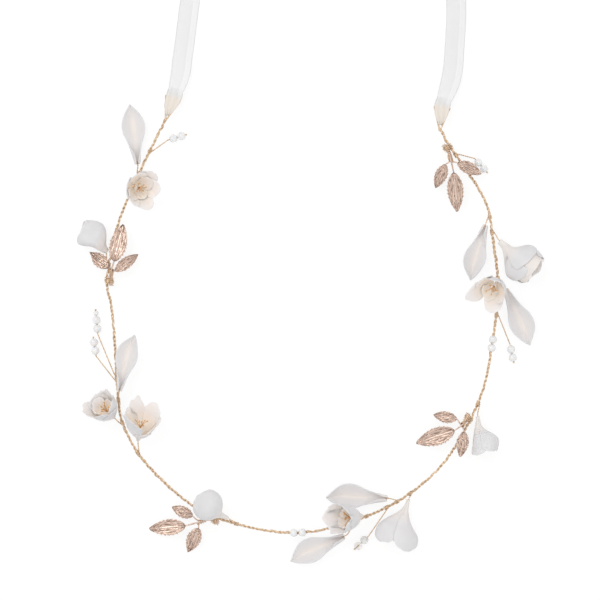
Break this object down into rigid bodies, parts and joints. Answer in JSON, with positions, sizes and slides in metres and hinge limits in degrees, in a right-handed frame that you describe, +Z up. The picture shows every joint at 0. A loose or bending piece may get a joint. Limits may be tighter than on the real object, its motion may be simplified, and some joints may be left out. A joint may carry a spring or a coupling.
{
  "type": "flower crown",
  "caption": "Open flower crown: a bendable gold wire carrying white bell flowers, folded leaves, embossed leaf sprays and beads on turning stems, with a ribbon tie at each end.",
  "frame": {"origin": "on the table, under the middle of the crown's box without the ribbons", "axes": "+X to the wearer's right arm of the wire as seen in the picture, +Y to the ribbon ties at the back of the head, +Z up off the table, to the camera"},
  "size_m": [0.2306, 0.3396, 0.0253],
  "materials": {
    "gold wire": "polished",
    "rose gold": "satin",
    "white ceramic": "matte",
    "bead": "gloss",
    "ribbon": "satin",
    "band": "matte"
  },
  "bodies": {
    "front": {"vine_front": "gold wire", "gold_leaves_2": "rose gold", "gold_leaves_3": "rose gold", "binding_front": "gold wire"},
    "left_arm": {"vine_left": "gold wire", "gold_leaves_1": "rose gold", "binding_left": "gold wire", "ribbon_left": "ribbon", "ribbon_left_roll": "ribbon", "ribbon_left_band": "band"},
    "right_arm": {"vine_right": "gold wire", "gold_leaves_4": "rose gold", "binding_right": "gold wire", "ribbon_right": "ribbon", "ribbon_right_roll": "ribbon", "ribbon_right_band": "band"},
    "flower_1": {"flower_1": "white ceramic", "flower_wire_1": "gold wire"},
    "flower_2": {"flower_2": "white ceramic", "flower_wire_2": "gold wire"},
    "flower_3": {"flower_3": "white ceramic", "flower_wire_3": "gold wire"},
    "flower_4": {"flower_4": "white ceramic", "flower_wire_4": "gold wire"},
    "flower_5": {"flower_5": "white ceramic", "flower_wire_5": "gold wire"},
    "flower_6": {"flower_6": "white ceramic", "flower_wire_6": "gold wire"},
    "flower_7": {"flower_7": "white ceramic", "flower_wire_7": "gold wire"},
    "flower_8": {"flower_8": "white ceramic", "flower_wire_8": "gold wire"},
    "flower_9": {"flower_9": "white ceramic", "flower_wire_9": "gold wire"},
    "flower_10": {"flower_10": "white ceramic", "flower_wire_10": "gold wire"},
    "white_leaf_1": {"white_leaf_1": "white ceramic", "leaf_stem_1": "gold wire"},
    "white_leaf_2": {"white_leaf_2": "white ceramic", "leaf_stem_2": "gold wire"},
    "white_leaf_3": {"white_leaf_3": "white ceramic", "leaf_stem_3": "gold wire"},
    "white_leaf_4": {"white_leaf_4": "white ceramic", "leaf_stem_4": "gold wire"},
    "white_leaf_5": {"white_leaf_5": "white ceramic", "leaf_stem_5": "gold wire"},
    "white_leaf_6": {"white_leaf_6": "white ceramic", "leaf_stem_6": "gold wire"},
    "sprig_1": {"sprig_beads_1": "bead", "sprig_wire_1": "gold wire"},
    "sprig_2": {"sprig_beads_2": "bead", "sprig_wire_2": "gold wire"},
    "sprig_3": {"sprig_beads_3": "bead", "sprig_wire_3": "gold wire"},
    "sprig_4": {"sprig_beads_4": "bead", "sprig_wire_4": "gold wire"},
    "sprig_5": {"sprig_beads_5": "bead", "sprig_wire_5": "gold wire"},
    "vine_beads_front": {"vine_beads_front": "bead"},
    "vine_beads_right": {"vine_beads_right": "bead"}
  },
  "joints": [
    {"name": "left_arm_bend", "type": "hinge", "parent": "front", "child": "left_arm", "pos_m": [-0.0961, 0.01452, 0.005], "axis": [0, 0, 1], "range_deg": [-10, 20]},
    {"name": "right_arm_bend", "type": "hinge", "parent": "front", "child": "right_arm", "pos_m": [0.08447, -0.02397, 0.005], "axis": [0, 0, -1], "range_deg": [-10, 20]},
    {"name": "flower_1_lift", "type": "hinge", "parent": "left_arm", "child": "flower_1", "pos_m": [-0.08493, 0.06906, 0.005], "axis": [-0.4126, -0.9109, 0], "range_deg": [0, 30]},
    {"name": "flower_2_lift", "type": "hinge", "parent": "left_arm", "child": "flower_2", "pos_m": [-0.09669, 0.03123, 0.005], "axis": [0.1517, 0.9884, 0], "range_deg": [0, 25]},
    {"name": "flower_3_lift", "type": "hinge", "parent": "front", "child": "flower_3", "pos_m": [-0.09019, -0.04473, 0.005], "axis": [-0.3643, 0.9313, 0], "range_deg": [0, 20]},
    {"name": "flower_4_lift", "type": "hinge", "parent": "front", "child": "flower_4", "pos_m": [-0.08299, -0.05884, 0.005], "axis": [0.5599, -0.8286, 0], "range_deg": [0, 30]},
    {"name": "flower_5_lift", "type": "hinge", "parent": "front", "child": "flower_5", "pos_m": [-0.03547, -0.09323, 0.005], "axis": [0.9629, -0.2698, 0], "range_deg": [0, 30]},
    {"name": "flower_6_lift", "type": "hinge", "parent": "front", "child": "flower_6", "pos_m": [0.02709, -0.08963, 0.005], "axis": [0.9294, 0.369, 0], "range_deg": [0, 20]},
    {"name": "flower_7_lift", "type": "hinge", "parent": "front", "child": "flower_7", "pos_m": [0.04802, -0.07863, 0.005], "axis": [-0.819, -0.5738, 0], "range_deg": [0, 40]},
    {"name": "flower_8_lift", "type": "hinge", "parent": "front", "child": "flower_8", "pos_m": [0.08076, -0.0352, 0.005], "axis": [-0.3799, -0.925, 0], "range_deg": [0, 40]},
    {"name": "flower_9_lift", "type": "hinge", "parent": "right_arm", "child": "flower_9", "pos_m": [0.09033, 0.02476, 0.005], "axis": [-0.0678, 0.9977, 0], "range_deg": [0, 20]},
    {"name": "flower_10_lift", "type": "hinge", "parent": "right_arm", "child": "flower_10", "pos_m": [0.0875, 0.047, 0.005], "axis": [0.1168, -0.9932, 0], "range_deg": [0, 25]},
    {"name": "white_leaf_1_lift", "type": "hinge", "parent": "left_arm", "child": "white_leaf_1", "pos_m": [-0.08224, 0.07498, 0.005], "axis": [0.4126, 0.9109, 0], "range_deg": [0, 40]},
    {"name": "white_leaf_2_lift", "type": "hinge", "parent": "front", "child": "white_leaf_2", "pos_m": [-0.09215, -0.0336, 0.005], "axis": [0.0972, -0.9953, 0], "range_deg": [0, 30]},
    {"name": "white_leaf_3_lift", "type": "hinge", "parent": "front", "child": "white_leaf_3", "pos_m": [0.01959, -0.09237, 0.005], "axis": [-0.9489, -0.3156, 0], "range_deg": [0, 30]},
    {"name": "white_leaf_4_lift", "type": "hinge", "parent": "front", "child": "white_leaf_4", "pos_m": [0.04177, -0.08264, 0.005], "axis": [0.8642, 0.5031, 0], "range_deg": [0, 20]},
    {"name": "white_leaf_5_lift", "type": "hinge", "parent": "right_arm", "child": "white_leaf_5", "pos_m": [0.08651, 0.05428, 0.005], "axis": [-0.1802, 0.9836, 0], "range_deg": [0, 40]},
    {"name": "white_leaf_6_lift", "type": "hinge", "parent": "right_arm", "child": "white_leaf_6", "pos_m": [0.09049, 0.02118, 0.005], "axis": [0.0193, -0.9998, 0], "range_deg": [0, 40]},
    {"name": "sprig_1_lift", "type": "hinge", "parent": "left_arm", "child": "sprig_1", "pos_m": [-0.07697, 0.08607, 0.005], "axis": [-0.4416, -0.8972, 0], "range_deg": [0, 40]},
    {"name": "sprig_2_lift", "type": "hinge", "parent": "front", "child": "sprig_2", "pos_m": [-0.09292, -0.02284, 0.005], "axis": [-0.0579, 0.9983, 0], "range_deg": [0, 40]},
    {"name": "sprig_3_lift", "type": "hinge", "parent": "front", "child": "sprig_3", "pos_m": [0.03664, -0.08539, 0.005], "axis": [-0.8952, -0.4457, 0], "range_deg": [0, 40]},
    {"name": "sprig_4_lift", "type": "hinge", "parent": "right_arm", "child": "sprig_4", "pos_m": [0.0896, 0.00731, 0.005], "axis": [-0.1221, -0.9925, 0], "range_deg": [0, 40]},
    {"name": "sprig_5_lift", "type": "hinge", "parent": "right_arm", "child": "sprig_5", "pos_m": [0.07009, 0.08407, 0.005], "axis": [0.5906, -0.8069, 0], "range_deg": [0, 40]},
    {"name": "vine_beads_front_spin", "type": "hinge", "parent": "front", "child": "vine_beads_front", "pos_m": [-0.00575, -0.09746, 0.005], "axis": [0.9995, 0.0323, 0], "continuous": true},
    {"name": "vine_beads_right_spin", "type": "hinge", "parent": "right_arm", "child": "vine_beads_right", "pos_m": [0.08761, -0.00663, 0.005], "axis": [0.1457, 0.9893, 0], "continuous": true}
  ]
}
